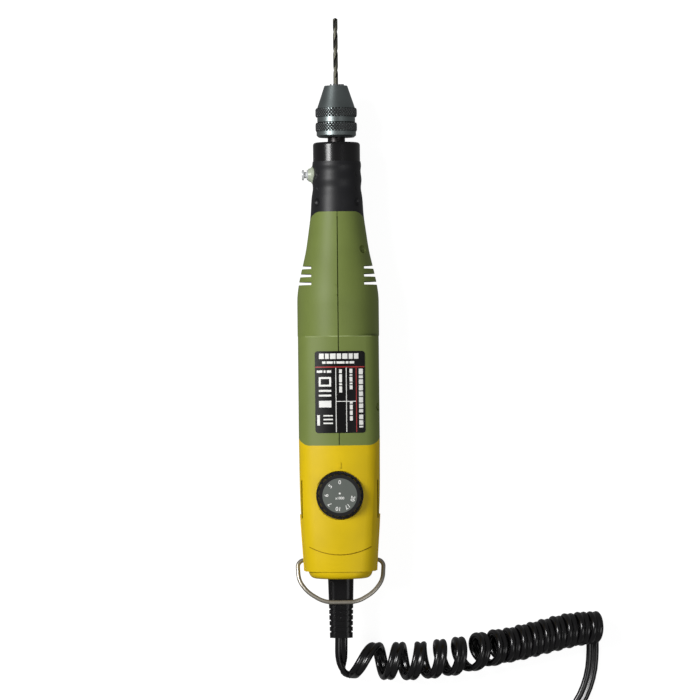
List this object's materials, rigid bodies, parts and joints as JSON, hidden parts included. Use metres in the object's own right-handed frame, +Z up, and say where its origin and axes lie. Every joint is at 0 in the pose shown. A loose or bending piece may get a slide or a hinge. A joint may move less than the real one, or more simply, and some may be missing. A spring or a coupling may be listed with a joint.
{
  "type": "rotary hobby tool",
  "caption": "Slim low-voltage rotary hobby tool with keyless three-jaw chuck, 20 mm system collar, spindle lock, speed dial, wire hanging bail and curly flex with two-pin plug.",
  "frame": {"origin": "centre of the tool's box on the surface that it lies on, cord and plug left out", "axes": "+Y forwards along the tool axis to the drill tip, +Z up out of the front with the dial, +X to the right seen from above"},
  "size_m": [0.1515, 0.3318, 0.0362],
  "materials": {
    "green_plastic": "fine matt texture",
    "yellow_plastic": "satin",
    "soft_grip": "soft matt",
    "black_gloss": "gloss",
    "label_print": null,
    "steel": "ground",
    "blackened_steel": "blackened, knurled bands",
    "drill_steel": "dark high speed steel",
    "chrome": "polished",
    "pale_plastic": "gloss",
    "zinc_steel": "zinc plated",
    "ferrite": "sintered",
    "copper": "enamelled copper wire",
    "brass": "plain",
    "carbon": "pressed carbon",
    "black_plastic": "matt",
    "white_plastic": "matt",
    "aluminium": "turned",
    "board_green": "solder mask",
    "dial_grey": "satin, printed figures",
    "wire_insulation": "smooth",
    "cord_rubber": "smooth black flex"
  },
  "bodies": {
    "tool_body": {"housing_left": "green_plastic", "housing_right": "green_plastic", "housing_screws": "zinc_steel", "rear_cap": "yellow_plastic", "nose_grip": "soft_grip", "nose_collar": "black_gloss", "rating_label": "label_print", "front_bearing_outer_race": "steel", "front_bearing_balls": "steel", "rear_bearing_outer_race": "steel", "rear_bearing_balls": "steel", "bearing_seal": "black_plastic", "lock_bush": "pale_plastic", "lock_spring": "steel", "motor_can": "zinc_steel", "motor_magnets": "ferrite", "motor_end_cap": "black_plastic", "motor_bushes": "brass", "motor_brushes": "carbon", "brush_springs": "steel", "motor_terminals": "brass", "circuit_board": "board_green", "potentiometer": "black_plastic", "smoothing_capacitor": "aluminium", "power_transistor": "black_plastic", "controller_chip": "black_plastic", "motor_leads": "wire_insulation", "supply_leads": "wire_insulation", "strain_relief": "cord_rubber", "cord_lead": "cord_rubber", "cord_coil": "cord_rubber", "cord_tail": "cord_rubber", "cord_hank": "cord_rubber", "hank_tie": "white_plastic", "plug_body": "cord_rubber", "plug_pins": "brass"},
    "spindle": {"spindle": "steel", "front_bearing_inner_race": "steel", "rear_bearing_inner_race": "steel", "spindle_clip": "steel", "coupling_motor_hub": "aluminium", "coupling_spider": "soft_grip", "coupling_spindle_hub": "aluminium", "cooling_fan": "black_plastic", "armature_shaft": "steel", "armature_core": "steel", "armature_windings": "copper", "commutator": "brass", "chuck_hub": "blackened_steel"},
    "chuck_sleeve": {"chuck_sleeve": "blackened_steel", "chuck_nut": "steel"},
    "chuck_jaw_1": {"chuck_jaw_1": "chrome"},
    "chuck_jaw_2": {"chuck_jaw_2": "chrome"},
    "chuck_jaw_3": {"chuck_jaw_3": "chrome"},
    "drill_bit": {"drill_bit": "drill_steel"},
    "lock_button": {"lock_button": "chrome"},
    "speed_knob": {"speed_knob": "black_gloss", "dial_plate": "dial_grey", "potentiometer_shaft": "aluminium"},
    "wire_bail": {"wire_bail": "chrome"}
  },
  "joints": [
    {"name": "spindle_spin", "type": "hinge", "parent": "tool_body", "child": "spindle", "pos_m": [0, 0.07062, 0.016], "axis": [0, 1, 0], "continuous": true},
    {"name": "sleeve_turn", "type": "hinge", "parent": "spindle", "child": "chuck_sleeve", "pos_m": [0, 0.10358, 0.016], "axis": [0, 1, 0], "range_deg": [0, 1038.96]},
    {"name": "jaw_1_slide", "type": "slide", "parent": "spindle", "child": "chuck_jaw_1", "axis": [0.2079, -0.9781, 0], "range_m": [0, 0.00289]},
    {"name": "jaw_2_slide", "type": "slide", "parent": "spindle", "child": "chuck_jaw_2", "axis": [-0.104, -0.9781, -0.1801], "range_m": [0, 0.00289]},
    {"name": "jaw_3_slide", "type": "slide", "parent": "spindle", "child": "chuck_jaw_3", "axis": [-0.104, -0.9781, 0.1801], "range_m": [0, 0.00289]},
    {"name": "drill_bit_withdraw", "type": "slide", "parent": "spindle", "child": "drill_bit", "axis": [0, 1, 0], "range_m": [0, 0.024]},
    {"name": "lock_button_press", "type": "slide", "parent": "tool_body", "child": "lock_button", "axis": [1, 0, 0], "range_m": [0, 0.0016], "stiffness_N_per_m": 600, "springref_m": -0.001, "deforming": ["lock_spring"]},
    {"name": "speed_knob_turn", "type": "hinge", "parent": "tool_body", "child": "speed_knob", "pos_m": [0, -0.07078, 0.036], "axis": [0, 0, 1], "range_deg": [-256.5, 0]},
    {"name": "bail_swing", "type": "hinge", "parent": "tool_body", "child": "wire_bail", "pos_m": [0, -0.09888, 0.016], "axis": [-1, 0, 0], "range_deg": [0, 85]}
  ],
  "couplings": [
    {"joint": "jaw_1_slide", "follows": "sleeve_turn", "m_per_rad": 0.00015915},
    {"joint": "jaw_2_slide", "follows": "sleeve_turn", "m_per_rad": 0.00015915},
    {"joint": "jaw_3_slide", "follows": "sleeve_turn", "m_per_rad": 0.00015915}
  ]
}
